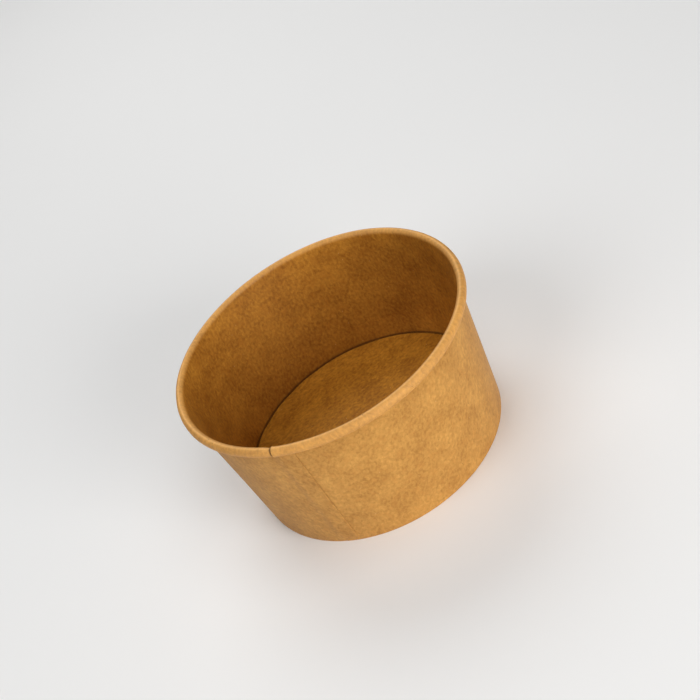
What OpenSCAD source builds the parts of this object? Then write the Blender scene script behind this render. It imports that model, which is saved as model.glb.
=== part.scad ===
// Round paper salad bowl: a leaning side wall, rolled outward at the rim and folded
// under at the foot, glued along one overlapping seam, with a base disc held in its foot.

/* [Bowl] */
// Diameter over the rolled rim
rim_d = 150; // [140:1:180]
// Diameter of the foot, over the wall
foot_d = 128; // [110:1:134]
// Height from the foot to the top of the rim
bowl_h = 76; // [45:1:110]

/* [Paperboard] */
// Thickness of the board
board_t = 0.42; // [0.3:0.01:0.5]
// Room between two layers that are sealed together
seal_gap = 0.05; // [0.03:0.01:0.1]

/* [Rolled rim] */
// Width of the roll, from the mouth outward
roll_w = 4.2; // [3.8:0.1:5.5]
// Height of the roll
roll_h = 5.2; // [4.4:0.1:6.5]
// How far the board turns, from the wall round to its tucked-in edge
roll_turn = 420; // [380:5:440]
// Room between the tucked-in edge and the doubled wall at the seam
roll_gap = 0.1; // [0.05:0.01:0.2]

/* [Side seam] */
// Width of the glued overlap
lap_w = 8; // [5:0.5:12]
// Length over which the board climbs onto its own start
climb_w = 5; // [3:0.5:8]
// Height over which the foot die presses the overlap flat
press_h = 3; // [2:0.5:5]
// Direction of the edge that shows inside and on the rim, from +X
seam_angle = 234; // [0:1:359]

/* [Base] */
// Height of the floor's upper face above the table
floor_z = 11.8; // [10:0.1:16]
// Radius of the bend at the floor's edge, on its upper face
bend_r = 1.2; // [0.8:0.1:2]
// Height of the wall's folded hem inside the foot
hem_h = 7.5; // [5:0.5:8]
// Radius of the two folds of the foot, at the middle of the board
fold_r = 0.3; // [0.26:0.01:0.35]
// Room under the lower edge of the disc's skirt
skirt_gap = 0.3; // [0.1:0.05:0.6]

/* [Hidden] */
$fn = 180;
arc_step = 15;       // degrees between the points of the roll and of the floor's bend
fold_step = 30;      // degrees between the points of the foot's small folds
climb_steps = 6;     // short steps in which the board climbs at the seam
corner_cut = 0.12;   // how much shorter the overlap's second layer is at the hem and in the roll
end_share = 0.6;     // shortest last run of the roll, as a share of a step
kraft = [0.81, 0.59, 0.31];
half_t = board_t / 2;
sunk_t = half_t / 2; // how near the second layer, sunk into the first, comes to its middle line

// Middle line of the board in the roll, an ellipse
roll_a = roll_w / 2 - half_t;
roll_b = roll_h / 2 - half_t;
roll_centre = [rim_d / 2 - roll_w / 2, bowl_h - roll_h / 2];
tuck = 2 * board_t + roll_gap;   // how much smaller the tucked-in turn is
tuck_from = 225;                 // turn at which the roll starts to tighten
tuck_span = 120;                 // turn over which it does

// Lean of the wall, from the tangent that leads from the foot to the inner side of the roll
first_lean = atan2(roll_centre[0] - roll_a - foot_d / 2, roll_centre[1]);
foot_point = [foot_d / 2 - half_t / cos(first_lean), 0];
foot_seen = [(foot_point[0] - roll_centre[0]) / roll_a, (foot_point[1] - roll_centre[1]) / roll_b];
roll_start = acos(1 / norm(foot_seen)) - atan2(foot_seen[1], foot_seen[0]) - 180;
wall_end = roll_point(roll_start);
lean = atan2(wall_end[0] - foot_point[0], wall_end[1] - foot_point[1]);
wall_out = [cos(lean), -sin(lean)];

// Folds of the foot: the wall, the skirt and the hem stand side by side above them
fold_z = half_t + fold_r;
fold_span = 2 * board_t + 2 * seal_gap;
outer_fold = on_wall(fold_z, half_t + fold_r);
inner_fold = on_wall(fold_z, half_t + fold_span - fold_r);

// Base disc
bend_mid_r = bend_r - half_t;
bend_centre = on_wall(floor_z - bend_r, board_t + seal_gap + bend_r);
skirt_depth = board_t + seal_gap + half_t;
skirt_end_z = board_t + skirt_gap;

// Seam, as angles round the roll. A step has a whole number of sixteenths of a degree, so that
// each stretch of board ends exactly in the plane in which the next one starts
climb_step = round(16 * 360 * climb_w / (PI * rim_d) / climb_steps) / 16;
climb_deg = climb_steps * climb_step;
lap_deg = 360 * lap_w / (PI * rim_d);

function unit(v) = v / norm(v);
function reversed(list) = [for (i = [len(list) - 1 : -1 : 0]) list[i]];
function smooth(x) = x * x * (3 - 2 * x);

// A point at height z that lies a distance inside the wall's outer face
function on_wall(z, inside) = [foot_d / 2 + z * tan(lean) - inside / cos(lean), z];

// The roll's middle line: turn 0 is beside the mouth, 90 on top and 180 at the outside
function tucked(turn) = tuck * smooth(min(1, max(0, (turn - tuck_from) / tuck_span)));
function roll_point(turn) = roll_centre
    + [-(roll_a - tucked(turn)) * cos(turn), (roll_b - tucked(turn)) * sin(turn)];
function roll_inward(turn) =
    unit([cos(turn) / (roll_a - tucked(turn)), -sin(turn) / (roll_b - tucked(turn))]);
function roll_turns() = concat(
    [roll_start],
    [for (k = [ceil(roll_start / arc_step) : ceil(roll_turn / arc_step - end_share) - 1]) k * arc_step],
    [roll_turn]);

// A station is [point of the middle line, direction of the side away from the food,
// share of the second layer that the overlap has there]
function arc_stations(centre, r, from, to, step) =
    let (n = ceil(abs(to - from) / step))
    [for (i = [0 : n])
        let (a = from + (to - from) * i / n, out = [cos(a), sin(a)])
        [centre + r * out, out, 0]];

// The board's whole section: hem, folds of the foot, wall and roll
wall_stations = concat(
    [for (z = [hem_h, press_h]) [on_wall(z, half_t + fold_span), -wall_out, 1]],
    arc_stations(inner_fold, fold_r, -180 - lean, -90, fold_step),
    arc_stations(outer_fold, fold_r, -90, -lean, fold_step),
    [[on_wall(press_h, half_t), wall_out, 1]],
    [for (turn = roll_turns()) [roll_point(turn), roll_inward(turn), 1]]);

// The disc's section: floor, bend and skirt
disc_stations = concat(
    [[[0, floor_z - half_t], [0, 1], 0]],
    arc_stations(bend_centre, bend_mid_r, 90, -lean, arc_step),
    [[on_wall(skirt_end_z, skirt_depth), wall_out, 0]]);

// Outline of a layer. Each of its two faces is given as [distance from the middle line,
// further distance where the overlap has its full second layer]
function face(stations, out) = [for (s = stations) s[0] + (out[0] + out[1] * s[2]) * s[1]];
function layer(stations, under, over) = concat(face(stations, over), reversed(face(stations, under)));
function board(stations, climb = 0) = layer(stations, [-half_t, climb], [half_t, climb]);

// The same stations, the first and last of which are drawn in a little
function drawn_in(stations, cut) =
    let (last = len(stations) - 1)
    [for (i = [0 : last])
        let (s = stations[i], next = stations[i == 0 ? 1 : last - 1])
        i == 0 || i == last ? [s[0] + cut * unit(next[0] - s[0]), s[1], s[2]] : s];

// Outline of the overlap's second layer, sunk into the first so that both are one
function second_layer() =
    layer(drawn_in(wall_stations, corner_cut), [-sunk_t, 0], [sunk_t, half_t + board_t - sunk_t]);

module stretch(start, angle, outline) {
    rotate_extrude(start = start, angle = angle, convexity = 10) polygon(outline);
}

// The wall's board goes once round at one radius, then climbs and lies on its own start
module side_wall() {
    color(kraft)
    rotate([0, 0, seam_angle - climb_deg])
    union() {
        stretch(climb_deg, 360 - climb_deg, board(wall_stations));
        for (k = [1 : climb_steps]) {
            share = k / (climb_steps + 1);
            stations = drawn_in(wall_stations, share * corner_cut);
            stretch((k - 1) * climb_step, climb_step, board(stations, share * board_t));
        }
        stretch(climb_deg, lap_deg, second_layer());
    }
}

module base_disc() {
    color(kraft)
    rotate_extrude(convexity = 10) polygon(board(disc_stations));
}

side_wall();
base_disc();
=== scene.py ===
"""Looks of a round paper salad bowl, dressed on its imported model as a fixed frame.

The bowl is two glued pieces of brown board. The side wall is one blank that goes once round
and laps onto its own start, rolls outward at the rim and folds in and up at the foot. The
base disc is a round blank whose edge is bent down inside that fold. Lengths are in
millimetres until a mesh is made, and angles are in radians.
"""

import logging
import math
from dataclasses import dataclass, field, replace
from enum import Enum
from typing import Any

import bmesh
import bpy
import numpy as np
from mathutils import Matrix, Vector


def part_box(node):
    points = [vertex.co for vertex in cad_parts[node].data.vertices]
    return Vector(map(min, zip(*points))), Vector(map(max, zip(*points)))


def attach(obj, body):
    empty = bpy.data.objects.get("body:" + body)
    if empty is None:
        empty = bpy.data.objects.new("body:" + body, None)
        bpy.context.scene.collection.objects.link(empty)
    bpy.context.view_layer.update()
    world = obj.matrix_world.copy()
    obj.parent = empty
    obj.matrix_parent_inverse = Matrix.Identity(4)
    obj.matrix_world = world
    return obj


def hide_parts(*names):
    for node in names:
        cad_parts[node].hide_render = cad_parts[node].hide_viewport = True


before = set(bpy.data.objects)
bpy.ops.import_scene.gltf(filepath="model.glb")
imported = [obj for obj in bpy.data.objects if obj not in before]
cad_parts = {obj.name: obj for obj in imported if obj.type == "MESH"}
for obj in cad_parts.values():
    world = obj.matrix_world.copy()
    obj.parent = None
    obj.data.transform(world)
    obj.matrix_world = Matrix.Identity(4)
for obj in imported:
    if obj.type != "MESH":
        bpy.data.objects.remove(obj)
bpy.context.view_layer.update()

LOG = logging.getLogger("paper_bowl")
MM = 0.001
TAU = math.tau
BLANK_MAP = "blank"
# Attribute of the share of rolling, which also carries the painted highlight along the roll's top.
ROLLED_WITH_PAINTED_LIGHT = "rolled"
# Attribute of the darkness of painted shade in joints, creases and hollows, and beside the seam's
# cut edge.
PAINTED_SHADE_MAP = "painted_shade_map"

Colour = tuple[float, float, float]
Place = tuple[float, float, float]


class Region(Enum):
    """What a face of a piece of board shows. The value is the face's material index."""

    COATED = 0
    PLAIN = 1
    CUT = 2


class Grain(Enum):
    """Direction of the board's fibres in its flat blank, as an angle from the blank's x axis."""

    UP_THE_WALL = math.pi / 2
    ACROSS_THE_DISC = 0.35


def smooth(share: Any) -> Any:
    """Eases a share from 0 to 1 and holds it there outside that range."""
    held = np.clip(share, 0.0, 1.0)
    return held * held * (3 - 2 * held)


def polar(angle: float) -> np.ndarray:
    """The unit vector at an angle, in the plane of radius and height."""
    return np.array([math.cos(angle), math.sin(angle)])


@dataclass(frozen=True)
class Waves:
    """A smooth, repeatable unevenness round the bowl and up it, as a sum of sine waves."""

    seed: int
    height: float
    fewest: int
    most: int
    twist: float = 0.0
    count: int = 9

    def at(self, angle: np.ndarray, up: np.ndarray) -> np.ndarray:
        """Height of the unevenness at each place.

        Args:
            angle: Directions round the bowl, in radians.
            up: Places along the board, in millimetres.

        Returns:
            The offsets in millimetres, seldom above twice the waves' height.
        """
        draw = np.random.default_rng(self.seed)
        total = np.zeros(np.broadcast(angle, up).shape)
        for _ in range(self.count):
            turns = int(draw.integers(self.fewest, self.most + 1))
            slope = draw.uniform(-self.twist, self.twist)
            total = total + np.sin(turns * angle + slope * up + draw.uniform(0, TAU))
        return self.height * total / math.sqrt(self.count / 2)


class Graph:
    """A material's node tree, with short calls that add a node and wire it up."""

    def __init__(self, name: str) -> None:
        """Starts a material with one principled shader.

        Args:
            name: The material's name.
        """
        self.material = bpy.data.materials.new(name)
        self.material.use_nodes = True
        self.tree = self.material.node_tree
        self.tree.nodes.clear()
        output = self.tree.nodes.new("ShaderNodeOutputMaterial")
        self.shader = self.tree.nodes.new("ShaderNodeBsdfPrincipled")
        self.tree.links.new(self.shader.outputs["BSDF"], output.inputs["Surface"])

    def plug(self, socket: Any, value: Any) -> None:
        """Links a node's output to the socket, or sets the socket to a plain value.

        Args:
            socket: The input socket.
            value: An output socket, or a number or tuple.
        """
        if isinstance(value, bpy.types.NodeSocket):
            self.tree.links.new(value, socket)
        else:
            socket.default_value = value

    def add(self, kind: str, inputs: dict[Any, Any], **settings: Any) -> bpy.types.Node:
        """Adds a node.

        Args:
            kind: The node's type, without its ShaderNode prefix.
            inputs: What goes into each of its sockets, by the socket's name or number.
            **settings: The node's own settings.

        Returns:
            The new node.
        """
        node = self.tree.nodes.new("ShaderNode" + kind)
        for name, value in settings.items():
            setattr(node, name, value)
        for key, value in inputs.items():
            self.plug(node.inputs[key], value)
        return node

    def dress(self, **inputs: Any) -> None:
        """Sets or links the principled shader's sockets, with _ for each space in a name."""
        for name, value in inputs.items():
            self.plug(self.shader.inputs[name.replace("_", " ")], value)

    def maths(self, operation: str, first: Any, second: Any = 0.0, held: bool = False) -> Any:
        """Result of a sum on two values, held between 0 and 1 if asked."""
        node = self.add("Math", {0: first, 1: second}, operation=operation, use_clamp=held)
        return node.outputs[0]

    def spread(self, value: Any, low: float, high: float, first: Any, last: Any) -> Any:
        """The value taken smoothly from the range low to high onto the range first to last."""
        inputs = {"Value": value, 1: low, 2: high, 3: first, 4: last}
        return self.add("MapRange", inputs, interpolation_type="SMOOTHSTEP").outputs[0]

    def blend(self, share: Any, first: Any, last: Any) -> Any:
        """Colour part way from the first to the last."""
        node = self.add("Mix", {0: share, 6: first, 7: last}, data_type="RGBA")
        return node.outputs[2]

    def noise(self, place: Any, size: float, detail: float = 2.0, bend: float = 0.0) -> Any:
        """Cloudy noise from 0 to 1 whose clouds are about a size in metres across."""
        inputs = {"Vector": place, "Scale": 1 / size, "Detail": detail, "Distortion": bend}
        return self.add("TexNoise", inputs, noise_dimensions="3D").outputs["Fac"]

    def turned(self, place: Any, angle: float, length: float, shift: Place) -> Any:
        """Place drawn out along a direction, for marks that are long that way.

        Args:
            place: The place on the flat blank.
            angle: The direction, from the blank's x axis.
            length: How many times longer than wide the marks are.
            shift: How far the pattern is moved, so that two of them don't match.

        Returns:
            The place to feed a texture with.
        """
        flat = self.add(
            "Mapping",
            {"Vector": place, "Rotation": (0.0, 0.0, -angle), "Location": shift},
            vector_type="POINT",
        ).outputs[0]
        inputs = {0: flat, 1: (1 / length, 1.0, 1.0)}
        return self.add("VectorMath", inputs, operation="MULTIPLY").outputs[0]

    def specks(self, place: Any, apart: float, size: float, share: float) -> Any:
        """Mask of small scattered dots.

        Args:
            place: The place on the flat blank.
            apart: Distance between the places where a dot may be, in metres.
            size: Radius of the largest dots, in metres.
            share: Share of those places that has a dot.

        Returns:
            1 in a dot and 0 elsewhere.
        """
        cell = self.add("TexVoronoi", {"Vector": place, "Scale": 1 / apart, "Randomness": 1.0})
        pick = self.add("SeparateColor", {0: cell.outputs["Color"]}).outputs
        grown = self.spread(pick[0], 1 - share, 1.0, 0.0, size / apart)
        edge = self.maths("SUBTRACT", grown, cell.outputs["Distance"])
        return self.spread(edge, 0.0, 0.25 * size / apart, 0.0, 1.0)


@dataclass(frozen=True)
class Marks:
    """Small marks scattered over the board.

    Attributes:
        colour: Their linear colour.
        apart: Distance between the places where one may be, in millimetres.
        radius: Half the width of the largest, in millimetres.
        length: How many times longer than wide they are.
        turn: Angle between them and the grain.
        strength: How strongly they colour the board.
        share: How many there are, as a share of the finish's own number.
        shift: How far their pattern is moved.
    """

    colour: Colour
    apart: float
    radius: float
    length: float
    turn: float
    strength: float
    share: float
    shift: Place


BARK = Marks((0.16, 0.075, 0.025), 2.4, 0.26, 1.8, 0.0, 0.6, 1.0, (0.7, 0.2, 0.0))
SLIVERS = Marks((0.86, 0.62, 0.34), 1.3, 0.14, 3.0, 0.3, 0.35, 1.5, (0.4, 0.9, 0.0))

# Each mat of fibres: its angle from the grain, and how far its pattern is moved
FIBRE_MATS = (
    (0.0, (0.0, 0.0, 0.0)),
    (0.5, (0.2, 0.4, 0.1)),
    (-0.8, (0.5, 0.1, 0.3)),
)


@dataclass(frozen=True)
class BoardFinish:
    """One face of brown board: its tones, fibres, specks and gloss.

    Sizes are in millimetres on the flat blank.

    Attributes:
        name: The material's name.
        dark: Linear colour of the darkest board.
        pale: Linear colour of the palest board.
        warm: Linear colour of the redder clouds.
        rolled: Linear colour where the board is rolled or folded and its fibres are opened; on the
            coated roll it also holds a painted highlight and in the floor's bend a painted shade.
        line: Linear colour of the painted shade in joints, creases and hollows, and beside the
            seam's cut edge.
        grain: Direction of the fibres.
        shift: How far the patterns are moved, so that no two faces match.
        cloud_size: Width of the broad clouds.
        mottle_size: Width of the mottles.
        mottle_length: How many times longer than wide the mottles are.
        fibre_size: Width of a fibre.
        fibre_length: How many times longer than wide a fibre is.
        hue_size: Width of the redder clouds.
        hue_share: How strongly they redden the board.
        cloud: Strength of the clouds in the tone.
        mottle: Strength of the mottles in the tone.
        fibre: Strength of the fibres in the tone.
        speck_share: Share of the places for a speck that have one.
        roughness: Middle of the surface's roughness.
        rough_range: How far the roughness strays from its middle.
        gloss: Specular level.
        coat: Weight of the clear coating.
        coat_roughness: Roughness of that coating.
        sheen: Weight of the fuzz.
        relief: Height of the bump.
        rolled_range: How far the rolled colour strays from its middle, as a share.
    """

    name: str
    dark: Colour
    pale: Colour
    warm: Colour
    rolled: Colour
    # Colour of the painted shade.
    line: Colour = (0.075, 0.028, 0.006)
    grain: Grain = Grain.UP_THE_WALL
    shift: float = 0.0
    cloud_size: float = 14.0
    mottle_size: float = 1.5
    mottle_length: float = 1.25
    fibre_size: float = 0.2
    fibre_length: float = 5.0
    hue_size: float = 3.1
    hue_share: float = 0.45
    cloud: float = 0.26
    mottle: float = 0.42
    fibre: float = 0.14
    speck_share: float = 0.2
    roughness: float = 0.8
    rough_range: float = 0.06
    gloss: float = 0.3
    coat: float = 0.0
    coat_roughness: float = 0.4
    sheen: float = 0.08
    relief: float = 0.03
    rolled_range: float = 0.12

    def material(self) -> bpy.types.Material:
        """The finish as a material.

        Returns:
            A material that reads its blank map, its share of rolling and painted highlight, and its
            painted shade.
        """
        graph = Graph(self.name)
        blank = graph.add("UVMap", {}, uv_map=BLANK_MAP).outputs[0]
        place = graph.add(
            "VectorMath", {0: blank, 1: (self.shift, self.shift, self.shift)}, operation="ADD"
        ).outputs[0]
        along = self.grain.value
        clouds = graph.noise(place, self.cloud_size * MM, 3.0)
        mottle = graph.noise(
            graph.turned(place, along, self.mottle_length, (0.3, 0.1, 0.2)),
            self.mottle_size * MM,
            4.0,
            0.4,
        )
        fibres = self._fibres(graph, place, along)
        tone = self._tone(graph, clouds, mottle, fibres)
        colour = graph.blend(tone, (*self.dark, 1.0), (*self.pale, 1.0))
        hue = graph.noise(place, self.hue_size * MM, 2.0, 0.6)
        reddened = graph.spread(hue, 0.45, 0.75, 0.0, self.hue_share)
        colour = graph.blend(reddened, colour, (*self.warm, 1.0))
        colour = self._stretched_and_painted_light(graph, tone, colour)
        colour = self._specked(graph, place, along, colour)
        # Painted shade in joints, creases and hollows, and beside the seam's cut edge.
        line = graph.add("Attribute", {}, attribute_name=PAINTED_SHADE_MAP).outputs["Fac"]
        colour = graph.blend(line, colour, (*self.line, 1.0))
        height = self._height(graph, mottle, fibres)
        bump = graph.add("Bump", {"Strength": 0.7, "Distance": self.relief * MM, "Height": height})
        smoothest, roughest = (self.roughness + side * self.rough_range for side in (-1, 1))
        rough = graph.spread(mottle, 0.25, 0.75, smoothest, roughest)
        graph.dress(
            Base_Color=colour,
            Roughness=rough,
            Specular_IOR_Level=self.gloss,
            Coat_Weight=self.coat,
            Coat_Roughness=self.coat_roughness,
            Sheen_Weight=self.sheen,
            Sheen_Roughness=0.5,
            Normal=bump.outputs[0],
        )
        return graph.material

    def _fibres(self, graph: Graph, place: Any, along: float) -> Any:
        """Mat of fibres: most run with the grain and some lie across it.

        Args:
            graph: The material's nodes.
            place: The place on the flat blank.
            along: Direction of the grain.

        Returns:
            The pattern, high on a fibre.
        """
        size = self.fibre_size * MM
        mats = [
            graph.noise(graph.turned(place, along + lean, self.fibre_length, shift), size, 2.0, 0.5)
            for lean, shift in FIBRE_MATS
        ]
        both = graph.maths("MAXIMUM", mats[0], mats[1])
        return graph.maths("MAXIMUM", both, mats[2])

    def _tone(self, graph: Graph, clouds: Any, mottle: Any, fibres: Any) -> Any:
        """Share of the pale tone, from all the patterns together.

        Args:
            graph: The material's nodes.
            clouds: The pattern of broad clouds.
            mottle: The pattern of mottles.
            fibres: The pattern of fibres.

        Returns:
            The share, from 0 to 1.
        """
        total: Any = 0.5
        for pattern, middle, weight in (
            (clouds, 0.5, self.cloud),
            (mottle, 0.5, self.mottle),
            (fibres, 0.6, self.fibre),
        ):
            part = graph.maths("SUBTRACT", pattern, middle)
            part = graph.maths("MULTIPLY", part, weight * 4)
            total = graph.maths("ADD", part, total)
        return graph.maths("ADD", total, 0.0, held=True)

    def _specked(self, graph: Graph, place: Any, along: float, colour: Any) -> Any:
        """Colour with dark specks of bark and pale slivers of fibre on it.

        Args:
            graph: The material's nodes.
            place: The place on the flat blank.
            along: Direction of the grain.
            colour: The colour of the board without them.

        Returns:
            The colour with both kinds of marks.
        """
        for marks in (BARK, SLIVERS):
            drawn = graph.turned(place, along + marks.turn, marks.length, marks.shift)
            share = self.speck_share * marks.share
            dots = graph.specks(drawn, marks.apart * MM, marks.radius * MM, share)
            strength = graph.maths("MULTIPLY", dots, marks.strength)
            colour = graph.blend(strength, colour, (*marks.colour, 1.0))
        return colour

    def _stretched_and_painted_light(self, graph: Graph, tone: Any, colour: Any) -> Any:
        """Colour changed where the board is rolled or folded and its fibres are opened, which also
        paints a highlight on the roll's top and shade in the floor's bend.

        Args:
            graph: The material's nodes.
            tone: The share of the pale tone.
            colour: The colour of flat board.

        Returns:
            The colour of flat and rolled board.
        """
        # The rolled share carries the painted highlight along the roll's top.
        share = graph.add("Attribute", {}, attribute_name=ROLLED_WITH_PAINTED_LIGHT).outputs["Fac"]
        nears = (1 - self.rolled_range, 1 + self.rolled_range)
        dark, pale = (tuple(near * part for part in self.rolled) for near in nears)
        opened = graph.blend(tone, (*dark, 1.0), (*pale, 1.0))
        return graph.blend(share, colour, opened)

    def _height(self, graph: Graph, mottle: Any, fibres: Any) -> Any:
        """Height of the surface, for the bump."""
        return graph.maths("ADD", graph.maths("MULTIPLY", mottle, 1.2), fibres)


OUTSIDE = BoardFinish(
    name="brown_board_outside",
    dark=(0.36, 0.155, 0.024),
    pale=(0.634, 0.323, 0.073),
    warm=(0.53, 0.231, 0.044),
    rolled=(0.57, 0.278, 0.063),
)
INSIDE = BoardFinish(
    name="brown_board_coated_inside",
    dark=(0.261, 0.091, 0.0072),
    pale=(0.518, 0.223, 0.0255),
    warm=(0.41, 0.152, 0.0145),
    # Paler than opened board alone: painted highlight where the roll's top catches the light.
    rolled=(0.8, 0.42, 0.125),
    shift=0.37,
    cloud=0.34,
    mottle=0.5,
    fibre=0.14,
    roughness=0.62,
    gloss=0.22,
    coat=0.06,
    coat_roughness=0.4,
    sheen=0.0,
    relief=0.02,
)
DISC_FACE = replace(
    INSIDE,
    name="brown_board_coated_floor",
    dark=(0.325, 0.117, 0.007),
    pale=(0.64, 0.279, 0.0265),
    warm=(0.49, 0.187, 0.0155),
    # Darker than the floor: painted shade in the bend where the floor meets the wall.
    rolled=(0.4, 0.15, 0.012),
    grain=Grain.ACROSS_THE_DISC,
    shift=0.71,
    cloud=0.3,
    mottle=0.52,
    fibre=0.15,
)
DISC_BACK = replace(
    OUTSIDE, name="brown_board_under_floor", grain=Grain.ACROSS_THE_DISC, shift=0.93
)
CUT_EDGE = BoardFinish(
    name="brown_board_cut_edge",
    dark=(0.3, 0.14, 0.035),
    pale=(0.56, 0.3, 0.085),
    warm=(0.45, 0.22, 0.06),
    rolled=(0.5, 0.26, 0.07),
    shift=0.11,
    mottle_size=0.5,
    fibre_size=0.08,
    mottle=0.5,
    fibre=0.5,
    speck_share=0.05,
    roughness=0.92,
    gloss=0.2,
    sheen=0.12,
    relief=0.06,
)


@dataclass(frozen=True)
class Section:
    """Middle line of a board's section, from one cut edge to the other.

    Attributes:
        middle: Points as radius and height.
        away: Unit directions away from the food.
        share: How much of its second layer an overlap has at each point.
        rolled: How far the board is bent at each point, from 0 to 1, with the roll's painted
            highlight in it.
        thick: Thickness at each point as a share of the board's own, for the worn cut edges.
        free: How far the blank's inner cut edge is free to stand up at each point.
        lines: Darkness of the painted shade in joints, creases and hollows, on the food's side and
            on the other side.
    """

    middle: np.ndarray
    away: np.ndarray
    share: np.ndarray
    rolled: np.ndarray
    thick: np.ndarray
    free: np.ndarray
    lines: np.ndarray

    @property
    def along(self) -> np.ndarray:
        """Length of the middle line up to each point."""
        steps = np.linalg.norm(np.diff(self.middle, axis=0), axis=1)
        return np.concatenate([[0.0], np.cumsum(steps)])


@dataclass
class Stations:
    """A section being drawn, station by station."""

    rows: list[tuple] = field(default_factory=list)

    def put(
        self,
        point: Any,
        away: Any,
        share: float,
        rolled: float,
        thick: float = 1.0,
        free: float = 0.0,
        lines: tuple[float, float] = (0.0, 0.0),
    ) -> None:
        """Adds one station at the end.

        Args:
            point: Its radius and height.
            away: The unit direction away from the food.
            share: How much of its second layer an overlap has there.
            rolled: How far the board is bent there, with the roll's painted highlight in it.
            thick: Thickness as a share of the board's own.
            free: How far the inner cut edge may stand up.
            lines: Darkness of the painted shade there, on the food's side and on the other side.
        """
        place, out = np.asarray(point, float), np.asarray(away, float)
        self.rows.append((place, out, share, rolled, thick, free, lines))

    def arc(self, centre: np.ndarray, r: float, start: float, end: float, steps: int) -> None:
        """Adds a bend that is seen from its outer side, with no second layer.

        Args:
            centre: The bend's centre, as radius and height.
            r: Radius of the middle line.
            start: Angle of the first station.
            end: Angle of the last station.
            steps: How many steps there are between them.
        """
        for k in range(steps + 1):
            out = polar(start + (end - start) * k / steps)
            self.put(centre + r * out, out, 0.0, math.sin(math.pi * k / steps))

    def section(self) -> Section:
        """The stations as arrays."""
        columns = [np.array(column, float) for column in zip(*self.rows)]
        return Section(*columns)


@dataclass(frozen=True)
class Shell:
    """Corners and faces of a closed piece of board, ready to become a mesh."""

    corners: np.ndarray
    faces: list[tuple[int, ...]]
    regions: list[Region]
    blank: np.ndarray
    rolled: np.ndarray
    painted_shade_map: np.ndarray

    def mesh(self, name: str, materials: list[bpy.types.Material]) -> bpy.types.Object:
        """Makes the piece.

        Args:
            name: The piece's name.
            materials: One material for each region, in the regions' order.

        Returns:
            The new object, linked into the scene.
        """
        data = bpy.data.meshes.new(name)
        data.from_pydata((self.corners * MM).tolist(), [], self.faces)
        for material in materials:
            data.materials.append(material)
        data.polygons.foreach_set("material_index", [r.value for r in self.regions])
        data.polygons.foreach_set("use_smooth", [True] * len(self.faces))
        at_corner = np.empty(len(data.loops), np.int32)
        data.loops.foreach_get("vertex_index", at_corner)
        blank = data.uv_layers.new(name=BLANK_MAP)
        blank.data.foreach_set("uv", (self.blank[at_corner] * MM).astype(np.float32).ravel())
        for title, values in ((ROLLED_WITH_PAINTED_LIGHT, self.rolled), (PAINTED_SHADE_MAP, self.painted_shade_map)):
            layer = data.attributes.new(title, "FLOAT", "POINT")
            layer.data.foreach_set("value", values.astype(np.float32))
        work = bmesh.new()
        work.from_mesh(data)
        bmesh.ops.recalc_face_normals(work, faces=work.faces)
        work.to_mesh(data)
        work.free()
        data.set_sharp_from_angle(angle=math.radians(38))
        piece = bpy.data.objects.new(name, data)
        bpy.context.scene.collection.objects.link(piece)
        return piece


def round_the_axis(radius: np.ndarray, height: np.ndarray, angle: np.ndarray) -> np.ndarray:
    """Points in space, from their radius, height and direction round the axis."""
    return np.stack([radius * np.cos(angle), radius * np.sin(angle), height], axis=-1)


def strips(first: np.ndarray, last: np.ndarray) -> list[tuple[int, ...]]:
    """Quads between two rows of corners of equal length."""
    return list(zip(first[:-1].tolist(), first[1:].tolist(), last[1:].tolist(), last[:-1].tolist()))


def two_sides(
    radius: np.ndarray, height: np.ndarray, depth: np.ndarray, away: np.ndarray, world: np.ndarray
) -> list[np.ndarray]:
    """Corners of a sheet's two sides.

    Args:
        radius: Radius of the middle line at each place.
        height: Height of the middle line at each place.
        depth: Half the thickness at each place.
        away: Unit direction away from the food at each station.
        world: Direction round the axis at each place.

    Returns:
        The corners of the food's side, then those of the other side.
    """
    sides = []
    for sign in (-1, 1):
        r = radius + sign * depth * away[None, :, 0]
        z = height + sign * depth * away[None, :, 1]
        sides.append(round_the_axis(r, z, np.broadcast_to(world, r.shape)))
    return sides


@dataclass(frozen=True)
class RollLook:
    """How the board looks round the roll. Turns are in degrees, with 90 on top.

    Attributes:
        bent_by: Turn by which the board is rolled.
        highlight_at: Turn of the painted highlight along the roll's top.
        highlight_w: Turn over which that painted highlight fades on either side.
        highlight_share: How much of the rolled paleness only the painted highlight has.
        tucked_shade_from: Turn at which painted shade on the tucked-in part starts.
        tucked_shade_span: Turn over which it grows.
        dark: Darkness of the painted shade on the tucked-in part, on the food's side.
        shade: Darkness of the painted shade in the roll's hollow, on the other side.
        free_low: How far the blank's inner cut edge is free to stand up on the wall.
        free_by: Turn by which it is wholly free.
        free_to: Turn at which it is held again.
        free_span: Turn over which it is.
    """

    bent_by: float = 55.0
    highlight_at: float = 94.0
    highlight_w: float = 13.0
    highlight_share: float = 0.48
    tucked_shade_from: float = 245.0
    tucked_shade_span: float = 50.0
    dark: float = 0.7
    shade: float = 0.3
    free_low: float = 0.3
    free_by: float = 40.0
    free_to: float = 190.0
    free_span: float = 60.0

    def rolled(self, turn: float) -> float:
        """How far the board is rolled at a turn in degrees, from 0 to 1, held lower away from the
        roll's top so that a painted highlight runs along it.
        """
        # Painted highlight along the roll's top: the rolled share is full only there.
        painted_highlight = math.exp(-(((turn - self.highlight_at) / self.highlight_w) ** 2))
        return float(smooth(turn / self.bent_by)) * (1 - self.highlight_share * (1 - painted_highlight))

    def lines(self, turn: float) -> tuple[float, float]:
        """Darkness of the painted shade on the food's side and on the other side, at a turn in
        degrees.
        """
        # Painted shade where the roll tucks in under the bead, and in the roll's hollow.
        return self.dark * float(smooth((turn - self.tucked_shade_from) / self.tucked_shade_span)), self.shade

    def free(self, turn: float) -> float:
        """How far the inner cut edge is free to stand up, at a turn in degrees."""
        grown = self.free_low + (1 - self.free_low) * float(smooth(turn / self.free_by))
        return grown * (1 - float(smooth((turn - self.free_to) / self.free_span)))


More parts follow.
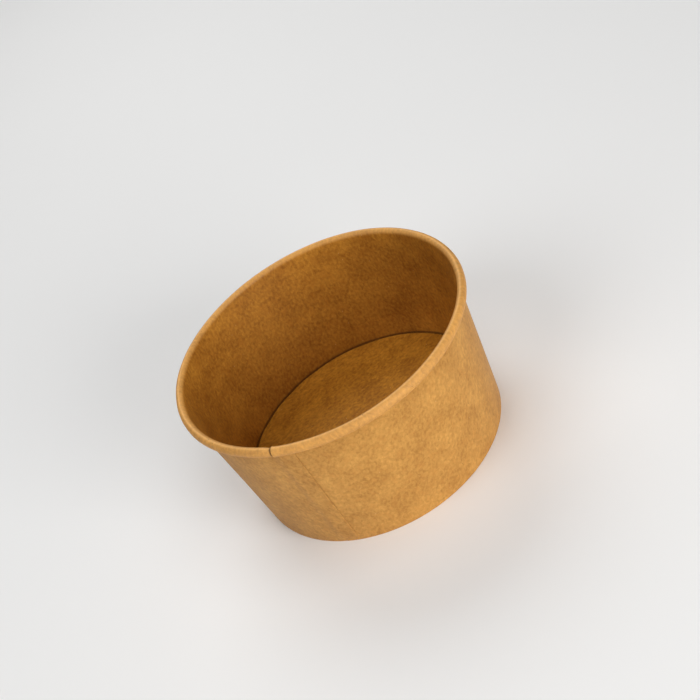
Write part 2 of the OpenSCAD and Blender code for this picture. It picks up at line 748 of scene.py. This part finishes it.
@dataclass
class SideWall:
    """The wall's blank: hem, folds of the foot, wall, seam and rolled rim.

    Attributes:
        rim_d: Diameter over the roll.
        height: Height from the foot to the top of the roll.
        foot_d: Diameter of the foot over the wall.
        board: Thickness of the board.
        seal: Room between two layers that are sealed together.
        roll_w: Width of the roll.
        roll_h: Height of the roll.
        roll_turn: How far the board turns in the roll.
        roll_gap: Room between the tucked-in edge and the doubled wall.
        tuck_from: Turn at which the roll starts to tighten.
        tuck_span: Turn over which it does.
        lap_w: Width of the glued overlap.
        climb_w: Length over which the board climbs onto its own start.
        press_h: Height over which the foot's die presses the overlap flat.
        seam: Direction of the blank's inner cut edge.
        hem_h: Height of the folded hem.
        floor_z: Height of the floor's upper face.
        fold_r: Radius of the foot's folds, at the middle of the board.
        edge_lift: How far the inner cut edge stands up.
        lift_w: Width over which it does.
        lap_room: Glue between the overlap's two layers.
        lap_sunk: How much thinner the pressed overlap gets at the foot.
        seam_dip: How far the rim dips at the seam.
        dip_w: Half the width of that dip.
        seam_shadow_w: Width of the painted shadow on the lower layer beside the inner cut edge's
            step.
        edge_shade_w: Width of the painted shade on the inner cut edge.
        seam_shade_dark: Darkness of that painted shadow and shade.
        groove_shade_dark: Darkness of the painted shade in the groove between wall and floor.
        groove_shade_w: Half its width.
        bead_shadow_dark: Darkness of the painted shadow on the wall under the roll.
        bead_shadow_w: Height over which that fades.
        lift_from: Height above the hem at which the inner cut edge comes free.
        lift_span: Height over which it does.
        panel_from: Height over which the wall's waves grow from the foot.
        panel_to: Height over which they fade below the roll.
        near_floor: Heights of further stations, from the floor.
        under_roll: Depths of further stations, from the end of the wall.
        round_steps: Steps round the single layer.
        climb_steps: Steps in the climb.
        lap_steps: Steps in the overlap.
        roll_step: Largest turn between two stations of the roll.
        wall_steps: Steps up the wall.
        hem_steps: Steps up the hem.
        fold_steps: Steps in each fold of the foot.
        worn: Each distance from a cut edge, and the share of the thickness left there.
        ovality: How far the mouth is out of round.
        rim_wave: Unevenness of the roll.
        wall_wave: Unevenness of the wall.
        sag_wave: Unevenness of the rim's height.
        look: How the board looks round the roll.
    """

    rim_d: float
    height: float
    foot_d: float = 128.0
    board: float = 0.42
    seal: float = 0.05
    roll_w: float = 4.2
    roll_h: float = 5.2
    roll_turn: float = math.radians(420)
    roll_gap: float = 0.1
    tuck_from: float = math.radians(225)
    tuck_span: float = math.radians(120)
    lap_w: float = 8.0
    climb_w: float = 5.0
    press_h: float = 3.0
    seam: float = math.radians(234)
    hem_h: float = 7.5
    floor_z: float = 11.8
    fold_r: float = 0.3
    edge_lift: float = 0.2
    lift_w: float = 1.6
    lap_room: float = 0.02
    lap_sunk: float = 0.55
    seam_dip: float = 0.22
    dip_w: float = 9.0
    seam_shadow_w: float = 1.5
    edge_shade_w: float = 0.12
    seam_shade_dark: float = 0.9
    groove_shade_dark: float = 0.8
    groove_shade_w: float = 0.55
    bead_shadow_dark: float = 0.5
    bead_shadow_w: float = 2.6
    lift_from: float = 6.0
    lift_span: float = 8.0
    panel_from: float = 20.0
    panel_to: float = 12.0
    near_floor: tuple[float, ...] = (-1.2, -0.3, 0.1, 0.6, 1.2)
    under_roll: tuple[float, ...] = (1.2, 0.4)
    round_steps: int = 400
    climb_steps: int = 18
    lap_steps: int = 12
    roll_step: float = math.radians(8)
    wall_steps: int = 18
    hem_steps: int = 8
    fold_steps: int = 6
    worn: tuple[tuple[float, float], ...] = ((0.0, 0.5), (0.05, 0.82), (0.13, 1.0))
    ovality: Waves = Waves(seed=3, height=0.1, fewest=2, most=4)
    rim_wave: Waves = Waves(seed=11, height=0.035, fewest=9, most=40, twist=0.6)
    wall_wave: Waves = Waves(seed=5, height=0.05, fewest=6, most=22, twist=0.12)
    sag_wave: Waves = Waves(seed=17, height=0.05, fewest=2, most=7)
    look: RollLook = RollLook()

    def __post_init__(self) -> None:
        """Works out the places that the sizes lead to."""
        half = self.board / 2
        self.roll_a = self.roll_w / 2 - half
        self.roll_b = self.roll_h / 2 - half
        self.roll_centre = np.array([(self.rim_d - self.roll_w) / 2, self.height - self.roll_h / 2])
        first_lean = math.atan2(
            self.roll_centre[0] - self.roll_a - self.foot_d / 2, self.roll_centre[1]
        )
        foot = np.array([self.foot_d / 2 - half / math.cos(first_lean), 0.0])
        seen = (foot - self.roll_centre) / np.array([self.roll_a, self.roll_b])
        reach = math.acos(1 / np.linalg.norm(seen))
        self.roll_start = reach - math.atan2(seen[1], seen[0]) - math.pi
        end = self.roll_point(self.roll_start)
        self.lean = math.atan2(end[0] - foot[0], end[1] - foot[1])
        self.out = polar(-self.lean)
        self.fold_span = 2 * self.board + 2 * self.seal
        self.fold_z = half + self.fold_r
        rim_r = self.rim_d / 2
        self.climb = self.climb_w / rim_r
        self.lap = self.lap_w / rim_r

    def on_wall(self, z: float, inside: float) -> np.ndarray:
        """Point at a height that lies a distance inside the wall's outer face."""
        radius = self.foot_d / 2 + z * math.tan(self.lean) - inside / math.cos(self.lean)
        return np.array([radius, z])

    def roll_axes(self, turn: float) -> np.ndarray:
        """Half width and half height of the roll's middle line.

        Args:
            turn: How far the board has turned.

        Returns:
            The two lengths, which shrink where the roll is tucked in.
        """
        tuck = 2 * self.board + self.roll_gap
        less = tuck * float(smooth((turn - self.tuck_from) / self.tuck_span))
        return np.array([self.roll_a - less, self.roll_b - less])

    def lapped(self, z: float) -> float:
        """How much of its second layer the overlap has at a height on the wall or hem."""
        return float(smooth((z - self.press_h / 2) / self.press_h))

    def roll_point(self, turn: float) -> np.ndarray:
        """Point of the roll: turn 0 is beside the mouth and a quarter turn is on top."""
        around = np.array([-math.cos(turn), math.sin(turn)])
        return self.roll_centre + self.roll_axes(turn) * around

    def section(self) -> Section:
        """The whole section, from the hem's cut edge to the roll's.

        Returns:
            The section, with its two cut edges worn a little round.
        """
        half = self.board / 2
        line = Stations()
        hem_z = [self.hem_h - back for back, _ in self.worn]
        hem_thick = [thick for _, thick in self.worn]
        for z in np.linspace(hem_z[-1], self.fold_z, self.hem_steps + 1)[1:-1]:
            hem_z.append(float(z))
            hem_thick.append(1.0)
        for z, thick in zip(hem_z, hem_thick):
            point = self.on_wall(z, half + self.fold_span)
            line.put(point, -self.out, self.lapped(z), 0.1, thick)
        inner = self.on_wall(self.fold_z, half + self.fold_span - self.fold_r)
        outer = self.on_wall(self.fold_z, half + self.fold_r)
        line.arc(inner, self.fold_r, -math.pi - self.lean, -math.pi / 2, self.fold_steps)
        line.arc(outer, self.fold_r, -math.pi / 2, -self.lean, self.fold_steps)
        self._draw_wall(line)
        self._draw_roll(line)
        return line.section()

    def _draw_wall(self, line: Stations) -> None:
        """Adds the wall's stations, with more of them at the floor and under the roll.

        Args:
            line: The section so far, which ends at the foot's outer fold.
        """
        top = float(self.roll_point(self.roll_start)[1])
        levels = np.linspace(self.fold_z, top, self.wall_steps + 1)[1:-1].tolist()
        levels += [self.floor_z + step for step in self.near_floor]
        levels += [top - step for step in self.under_roll]
        for z in sorted(levels):
            raised = float(smooth((z - self.hem_h - self.lift_from) / self.lift_span))
            # Painted shade in the groove at the floor, and painted shadow on the wall's outer side
            # under the roll.
            groove = self.groove_shade_dark * math.exp(-(((z - self.floor_z) / self.groove_shade_w) ** 2))
            shade = self.bead_shadow_dark * float(smooth(1 - (top - z) / self.bead_shadow_w))
            line.put(
                self.on_wall(z, self.board / 2),
                self.out,
                self.lapped(z),
                0.0,
                free=self.look.free_low * raised,
                lines=(groove, shade),
            )

    def _draw_roll(self, line: Stations) -> None:
        """Adds the roll's stations, the last of them close together at the cut edge.

        Args:
            line: The section so far, which ends at the top of the wall.
        """
        last_r = float(self.roll_axes(self.roll_turn).mean())
        edge = [(self.roll_turn - back / last_r, thick) for back, thick in reversed(self.worn)]
        count = math.ceil((edge[0][0] - self.roll_start) / self.roll_step)
        turns = [(float(t), 1.0) for t in np.linspace(self.roll_start, edge[0][0], count + 1)]
        for turn, thick in turns + edge[1:]:
            inward = np.array([math.cos(turn), -math.sin(turn)]) / self.roll_axes(turn)
            seen = math.degrees(turn)
            line.put(
                self.roll_point(turn),
                inward / np.linalg.norm(inward),
                1.0,
                self.look.rolled(seen),
                thick,
                self.look.free(seen),
                self.look.lines(seen),
            )

    def rounds(self) -> tuple[np.ndarray, np.ndarray]:
        """Steps round the bowl, from the inner cut edge to the outer one.

        Returns:
            The angles from the inner cut edge, and the board's thickness at each as a share.
        """
        rim_r = self.rim_d / 2
        worn = np.array(self.worn)
        start = worn[:, 0] / rim_r
        end = TAU + self.lap - start[::-1]
        coarse = np.linspace(start[-1], TAU - self.climb, self.round_steps + 1)[1:]
        climb = np.linspace(TAU - self.climb, TAU, self.climb_steps + 1)[1:]
        lap = np.linspace(TAU, end[0], self.lap_steps + 1)[1:]
        angles = np.concatenate([start, coarse, climb, lap, end[1:]])
        thick = np.ones(len(angles))
        thick[: len(worn)] = worn[:, 1]
        thick[-len(worn):] = worn[::-1, 1]
        return angles, thick

    def shell(self) -> Shell:
        """The blank wound up: one sheet that goes once round and laps onto its start.

        Returns:
            The closed sheet.
        """
        section = self.section()
        angles, thick = self.rounds()
        turned = angles[:, None]
        world = turned + self.seam
        climbed = smooth((turned - (TAU - self.climb)) / self.climb)
        share = section.share[None, :]
        start = 1 - smooth(turned * self.rim_d / 2 / self.lift_w)
        lifted = start * self.edge_lift * section.free
        rise = climbed * share * (self.board + self.lap_room) - lifted
        radius = section.middle[None, :, 0] + rise * section.away[None, :, 0]
        height = section.middle[None, :, 1] + rise * section.away[None, :, 1]
        radius = radius + self._unevenness(world, section)
        height = height - self._sag(world, section)
        sunk = 1 - self.lap_sunk * climbed * (1 - share)
        depth = self.board / 2 * thick[:, None] * section.thick[None, :] * sunk
        sides = two_sides(radius, height, depth, section.away, world)
        blank = self._blank(angles, section.along)
        rolled = np.broadcast_to(section.rolled, radius.shape)
        return self._joined(sides, blank, rolled, self._painted_shade_of_wall(turned, section))

    def _painted_shade_of_wall(self, turned: np.ndarray, section: Section) -> np.ndarray:
        """Darkness of the painted shade in joints, creases and hollows, and of the painted shadow
        at the seam's cut edge.

        Args:
            turned: Angles from the blank's inner cut edge.
            section: The board's section.

        Returns:
            The darkness at each place on the food's side, then on the other side.
        """
        off = turned * self.rim_d / 2
        # Painted shadow on the lower layer beside the inner cut edge's step, and painted shade on
        # that cut edge, where the edge stands free.
        under = smooth(self.seam_shadow_w + off - TAU * self.rim_d / 2)
        edge = 1 - smooth(off / self.edge_shade_w)
        seen = self.seam_shade_dark * smooth(2 * section.free)[None, :]
        coated = np.maximum(section.lines[None, :, 0], np.maximum(under, edge) * seen)
        plain = np.maximum(section.lines[None, :, 1], edge * seen)
        return np.stack([coated, plain])

    def _unevenness(self, world: np.ndarray, section: Section) -> np.ndarray:
        """How far each place of the sheet is off its true radius.

        Args:
            world: Directions round the axis.
            section: The board's section.

        Returns:
            The offset at each place, in millimetres.
        """
        z = section.middle[None, :, 1]
        up = smooth(z / self.height)
        oval = self.ovality.at(world, 0 * z)
        oval = oval - np.abs(oval).max()
        bead = self.rim_wave.at(world, section.along[None, :])
        bead = (bead - np.abs(bead).max()) * section.rolled[None, :] * (z > self.height / 2)
        panel = self.wall_wave.at(world, section.along[None, :])
        below = self.height - self.roll_h - z
        panel = panel * smooth(z / self.panel_from) * smooth(below / self.panel_to)
        return oval * up + bead + panel

    def _sag(self, world: np.ndarray, section: Section) -> np.ndarray:
        """How far each place of the sheet hangs below its true height.

        Args:
            world: Directions round the axis.
            section: The board's section.

        Returns:
            The depth at each place, in millimetres.
        """
        wave = self.sag_wave.at(world, 0 * section.middle[None, :, 1])
        off = np.angle(np.exp(1j * (world - self.seam))) * self.rim_d / 2
        dip = self.seam_dip * np.exp(-((off / self.dip_w) ** 2))
        return (np.abs(wave).max() - wave + dip) * smooth(section.middle[None, :, 1] / self.height)

    def _blank(self, angles: np.ndarray, along: np.ndarray) -> np.ndarray:
        """Each place on the flat blank, a sector of a ring whose grain runs up its middle.

        Args:
            angles: Angles from the blank's inner cut edge.
            along: Length of the section up to each station.

        Returns:
            The place of each corner, across the blank and up it.
        """
        slope = math.sin(self.lean)
        reach = self.foot_d / 2 / slope + along[None, :]
        fan = (angles[:, None] - (TAU + self.lap) / 2) * slope
        across = reach * np.sin(fan)
        up = reach * np.cos(fan) - self.foot_d / 2 / slope
        return np.stack([across, up], axis=-1)

    def _joined(
        self, sides: list[np.ndarray], blank: np.ndarray, rolled: np.ndarray, painted_shade_map: np.ndarray
    ) -> Shell:
        """Both sides and the four cut edges as one closed shell.

        Args:
            sides: Corners of the food's side and of the other side.
            blank: Each place on the flat blank.
            rolled: How far the board is rolled at each place, with the roll's painted highlight in
                it.
            painted_shade_map: Darkness of the painted shade on both sides.

        Returns:
            The shell.
        """
        rounds, stations = sides[0].shape[:2]
        number = np.arange(2 * rounds * stations).reshape(2, rounds, stations)
        faces: list[tuple[int, ...]] = []
        regions: list[Region] = []

        def add(rows: tuple[np.ndarray, np.ndarray], region: Region) -> None:
            """Adds a strip of faces.

            Args:
                rows: The two rows of corners that it lies between.
                region: What the faces show.
            """
            quads = strips(*rows)
            faces.extend(quads)
            regions.extend([region] * len(quads))

        for i in range(rounds - 1):
            add((number[0, i], number[0, i + 1]), Region.COATED)
            add((number[1, i + 1], number[1, i]), Region.PLAIN)
        for i in (0, rounds - 1):
            add((number[0, i], number[1, i]), Region.CUT)
        for k in (0, stations - 1):
            add((number[0, :, k], number[1, :, k]), Region.CUT)
        return Shell(
            corners=np.concatenate([side.reshape(-1, 3) for side in sides]),
            faces=faces,
            regions=regions,
            blank=np.concatenate([blank.reshape(-1, 2)] * 2),
            rolled=np.concatenate([rolled.reshape(-1)] * 2),
            painted_shade_map=painted_shade_map.reshape(-1),
        )

    def build(self) -> bpy.types.Object:
        """Makes the wall, dressed and riding on the frame.

        Returns:
            The wall.
        """
        materials = [INSIDE.material(), OUTSIDE.material(), CUT_EDGE.material()]
        wall = self.shell().mesh("rolled_side_wall", materials)
        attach(wall, "root")
        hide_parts("side_wall")
        return wall


@dataclass
class BaseDisc:
    """The disc's blank: floor, bend and skirt.

    Attributes:
        wall: The wall that it is glued into.
        bend_r: Radius of the bend, on the floor's upper face.
        skirt_gap: Room under the skirt's cut edge.
        bend_shade_dark: Darkness of the painted shade at the end of the bend, where the wall meets
            it.
        skirt_shade_dark: Darkness of the painted shade on the skirt, on the wall's side.
        round_steps: Steps round the disc.
        floor_rings: Rings of the flat floor.
        bend_steps: Steps in the bend.
        skirt_steps: Steps down the skirt.
        dome: How far the floor's middle is raised.
        edge_wave: Unevenness of the floor's edge.
        floor_wave: Unevenness of the floor.
        pleats: Fine pleats of the bend and skirt.
        wave_w: Width over which the floor's waves fade and the edge's grow.
        wave_from: How far inside the foot's edge the edge's waves start.
    """

    wall: SideWall
    bend_r: float = 1.2
    skirt_gap: float = 0.3
    bend_shade_dark: float = 0.8
    skirt_shade_dark: float = 0.9
    round_steps: int = 360
    floor_rings: int = 22
    bend_steps: int = 9
    skirt_steps: int = 10
    dome: float = 0.3
    edge_wave: Waves = Waves(seed=21, height=0.09, fewest=5, most=26)
    floor_wave: Waves = Waves(seed=31, height=0.05, fewest=2, most=7, twist=0.15)
    pleats: Waves = Waves(seed=41, height=0.012, fewest=90, most=170)
    wave_w: float = 8.0
    wave_from: float = 9.0

    def section(self) -> Section:
        """The disc's section, from its centre to the skirt's cut edge.

        Returns:
            The section, with its cut edge worn a little round.
        """
        wall, half = self.wall, self.wall.board / 2
        line = Stations()
        centre = wall.on_wall(wall.floor_z - self.bend_r, wall.board + wall.seal + self.bend_r)
        for r in np.linspace(0.0, centre[0], self.floor_rings + 1)[:-1]:
            line.put([float(r), wall.floor_z - half], [0.0, -1.0], 0.0, 0.0)
        start, end = math.pi / 2, -wall.lean
        for k in range(self.bend_steps + 1):
            out = polar(start + (end - start) * k / self.bend_steps)
            bent = k / self.bend_steps
            # Painted shade down the bend into the groove where the wall meets the floor.
            dark = self.bend_shade_dark * float(smooth(1.2 * bent - 0.15))
            line.put(centre + (self.bend_r - half) * out, -out, 0.0, bent, lines=(dark, 0.0))
        skirt_z = wall.board + self.skirt_gap
        heights = np.linspace(centre[1], skirt_z + wall.worn[-1][0], self.skirt_steps + 1)[1:]
        worn = [(float(z), 1.0) for z in heights]
        worn += [(skirt_z + back, thick) for back, thick in reversed(wall.worn[:-1])]
        for z, thick in worn:
            point = wall.on_wall(z, wall.board + wall.seal + half)
            # Painted shade on the skirt where it lies between the wall's layers.
            line.put(point, -wall.out, 0.0, 1.0, thick, lines=(self.skirt_shade_dark, 0.0))
        return line.section()

    def shell(self) -> Shell:
        """The disc pressed to shape, with a slightly domed floor and a wavy edge.

        Returns:
            The closed sheet.
        """
        section = self.section()
        angles = np.arange(self.round_steps) * TAU / self.round_steps
        world = angles[:, None]
        shape = (len(angles), len(section.middle) - 1)
        radius = np.broadcast_to(section.middle[None, 1:, 0], shape)
        height = section.middle[None, 1:, 1] + self._lift(world, section)
        pleated = self.pleats.at(world, 0 * radius) * section.rolled[None, 1:]
        radius = radius + pleated - np.abs(pleated).max() * section.rolled[None, 1:]
        depth = self.wall.board / 2 * section.thick[None, 1:]
        sides = two_sides(radius, height, depth, section.away[1:], world)
        along = np.broadcast_to(section.along[None, 1:], shape)
        blank = np.stack([along * np.cos(world), along * np.sin(world)], axis=-1)
        rolled = np.broadcast_to(section.rolled[None, 1:], shape)
        painted_shade_map = np.stack([np.broadcast_to(section.lines[None, 1:, k], shape) for k in (0, 1)])
        return self._joined(sides, blank, rolled, painted_shade_map, float(section.middle[0, 1]))

    def _lift(self, world: np.ndarray, section: Section) -> np.ndarray:
        """How far each place is above the true floor: a dome, soft waves and a wavy edge.

        Args:
            world: Directions round the axis.
            section: The disc's section.

        Returns:
            The lift at each place, in millimetres.
        """
        r = section.middle[None, 1:, 0]
        edge = self.wall.foot_d / 2
        dome = self.dome * smooth(1 - r / edge)
        waves = self.floor_wave.at(world, r) * smooth(r / edge) * smooth((edge - r) / self.wave_w)
        wavy = self.edge_wave.at(world, 0 * r) * smooth((r - edge + self.wave_from) / self.wave_w)
        fade = smooth(section.middle[None, 1:, 1] / self.wall.floor_z * 1.6 - 0.4)
        return dome + waves + wavy * fade

    def _joined(
        self,
        sides: list[np.ndarray],
        blank: np.ndarray,
        rolled: np.ndarray,
        painted_shade_map: np.ndarray,
        middle_z: float,
    ) -> Shell:
        """Both faces, the skirt's cut edge and the two centres as one closed shell.

        Args:
            sides: Corners of the food's side and of the other side.
            blank: Each place on the flat blank.
            rolled: How far the board is rolled at each place.
            painted_shade_map: Darkness of the painted shade on both sides.
            middle_z: Height of the flat floor's middle line.

        Returns:
            The shell.
        """
        rounds, stations = sides[0].shape[:2]
        number = np.arange(2 * rounds * stations).reshape(2, rounds, stations)
        faces: list[tuple[int, ...]] = []
        regions: list[Region] = []
        half = self.wall.board / 2
        centres = [2 * rounds * stations, 2 * rounds * stations + 1]
        for i in range(rounds):
            j = (i + 1) % rounds
            for side, region in ((0, Region.COATED), (1, Region.PLAIN)):
                quads = strips(number[side, i], number[side, j])
                quads = [tuple(reversed(q)) for q in quads] if side else quads
                quads.append((centres[side], int(number[side, i, 0]), int(number[side, j, 0])))
                faces.extend(quads)
                regions.extend([region] * len(quads))
            rim = (number[0, i, -1], number[0, j, -1], number[1, j, -1], number[1, i, -1])
            faces.append(tuple(int(n) for n in rim))
            regions.append(Region.CUT)
        top = middle_z + self.dome
        middle = np.array([[0.0, 0.0, top + half], [0.0, 0.0, top - half]])
        return Shell(
            corners=np.concatenate([side.reshape(-1, 3) for side in sides] + [middle]),
            faces=faces,
            regions=regions,
            blank=np.concatenate([blank.reshape(-1, 2)] * 2 + [np.zeros((2, 2))]),
            rolled=np.concatenate([rolled.reshape(-1)] * 2 + [np.zeros(2)]),
            painted_shade_map=np.concatenate([painted_shade_map.reshape(-1), np.zeros(2)]),
        )

    def build(self) -> bpy.types.Object:
        """Makes the disc, dressed and riding on the frame.

        Returns:
            The disc.
        """
        materials = [DISC_FACE.material(), DISC_BACK.material(), CUT_EDGE.material()]
        disc = self.shell().mesh("skirted_base_disc", materials)
        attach(disc, "root")
        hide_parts("base_disc")
        return disc


@dataclass(frozen=True)
class SoftLight:
    """A large soft lamp that faces the bowl.

    Attributes:
        name: The lamp's name.
        place: Where it hangs, in metres.
        size: Its diameter in metres.
        power: Its power in watts.
        tint: Its linear colour.
    """

    name: str
    place: Place
    size: float
    power: float
    tint: Colour = (1.0, 1.0, 1.0)

    def build(self, aim: Vector) -> bpy.types.Object:
        """Hangs the lamp.

        Args:
            aim: The place that it faces.

        Returns:
            The lamp.
        """
        data = bpy.data.lights.new(self.name, "AREA")
        data.shape = "DISK"
        data.size = self.size
        data.energy = self.power
        data.color = self.tint
        lamp = bpy.data.objects.new(self.name, data)
        lamp.location = self.place
        lamp.rotation_euler = (aim - Vector(self.place)).to_track_quat("-Z", "Y").to_euler()
        bpy.context.scene.collection.objects.link(lamp)
        return lamp


@dataclass
class Studio:
    """Pale floor, soft lamps, pale surroundings and the camera.

    Attributes:
        eye: Where the camera stands, in metres.
        aim: The place that it looks at.
        light_aim: The place that the lamps face.
        roll: How far the camera is turned about its view.
        lens: Its focal length in millimetres.
        floor_radius: Radius of the round floor.
        floor_tone: Linear colour of the floor.
        floor_cloud: How much darker the floor's clouds are.
        air: Colour of the surroundings.
        air_strength: How much light they give.
        seen_strength: How bright they look.
        lamps: The lamps.
    """

    eye: Place = (0.0, -0.58204, 0.46992)
    aim: Place = (0.0093, -0.0271, 0.076)
    light_aim: Place = (0.0, 0.0, 0.04)
    roll: float = math.radians(-30.63)
    lens: float = 77.14
    floor_radius: float = 0.93
    floor_tone: Colour = (0.92, 0.915, 0.905)
    floor_cloud: float = 0.03
    air: Colour = (0.93, 0.97, 1.0)
    air_strength: float = 0.05
    seen_strength: float = 0.8
    lamps: tuple[SoftLight, ...] = (
        SoftLight("front_soft_lamp", (0.65, -1.41, 0.427), 0.95, 20.0),
        SoftLight("left_soft_lamp", (-0.78, -0.415, 0.924), 0.9, 5.5),
        SoftLight("back_soft_lamp", (0.0, 0.884, 0.924), 0.9, 6.5),
        SoftLight("high_soft_lamp", (0.331, -0.331, 1.199), 0.9, 3.8),
    )

    def build_floor(self) -> bpy.types.Object:
        """Lays the round floor that the bowl stands on.

        Returns:
            The floor.
        """
        work = bmesh.new()
        bmesh.ops.create_circle(work, cap_ends=True, segments=128, radius=self.floor_radius)
        data = bpy.data.meshes.new("pale_floor")
        work.to_mesh(data)
        work.free()
        graph = Graph("pale_floor")
        place = graph.add("TexCoord", {}).outputs["Object"]
        cloud = graph.noise(place, 0.3, 2.0)
        darker = tuple((1 - self.floor_cloud) * part for part in self.floor_tone)
        graph.dress(
            Base_Color=graph.blend(cloud, (*darker, 1.0), (*self.floor_tone, 1.0)),
            Roughness=0.7,
            Specular_IOR_Level=0.2,
        )
        data.materials.append(graph.material)
        floor = bpy.data.objects.new("pale_floor", data)
        bpy.context.scene.collection.objects.link(floor)
        return floor

    def build_light(self) -> None:
        """Sets the pale surroundings and hangs the lamps."""
        world = bpy.data.worlds.new("pale_surroundings")
        world.use_nodes = True
        tree = world.node_tree
        sky = tree.nodes["Background"]
        sky.inputs["Color"].default_value = (*self.air, 1.0)
        ray = tree.nodes.new("ShaderNodeLightPath")
        seen = tree.nodes.new("ShaderNodeMapRange")
        seen.inputs["To Min"].default_value = self.air_strength
        seen.inputs["To Max"].default_value = self.seen_strength
        tree.links.new(ray.outputs["Is Camera Ray"], seen.inputs["Value"])
        tree.links.new(seen.outputs[0], sky.inputs["Strength"])
        bpy.context.scene.world = world
        for lamp in self.lamps:
            lamp.build(Vector(self.light_aim))
        bpy.context.scene.view_settings.view_transform = "Standard"

    def build_camera(self) -> bpy.types.Object:
        """Sets the camera at the photograph's viewing angle.

        Returns:
            The camera.
        """
        data = bpy.data.cameras.new("camera")
        data.sensor_fit = "HORIZONTAL"
        data.sensor_width = 36.0
        data.lens = self.lens
        data.clip_start = 0.01
        camera = bpy.data.objects.new("camera", data)
        look = Vector(self.aim) - Vector(self.eye)
        turned = look.to_track_quat("-Z", "Y").to_matrix().to_4x4()
        spin = Matrix.Rotation(self.roll, 4, "Z")
        camera.matrix_world = Matrix.Translation(Vector(self.eye)) @ turned @ spin
        bpy.context.scene.collection.objects.link(camera)
        bpy.context.scene.camera = camera
        return camera


def main() -> None:
    """Builds the studio and the bowl's two pieces, and reports each piece."""
    logging.basicConfig(level=logging.INFO, format="%(name)s: %(message)s")
    studio = Studio()
    studio.build_camera()
    low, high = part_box("side_wall")
    wall = SideWall(rim_d=(high.x - low.x) / MM, height=high.z / MM)
    for piece in (wall.build(), BaseDisc(wall).build(), studio.build_floor()):
        LOG.info("%s: %d faces", piece.name, len(piece.data.polygons))
    studio.build_light()


if __name__ == "__main__":
    main()
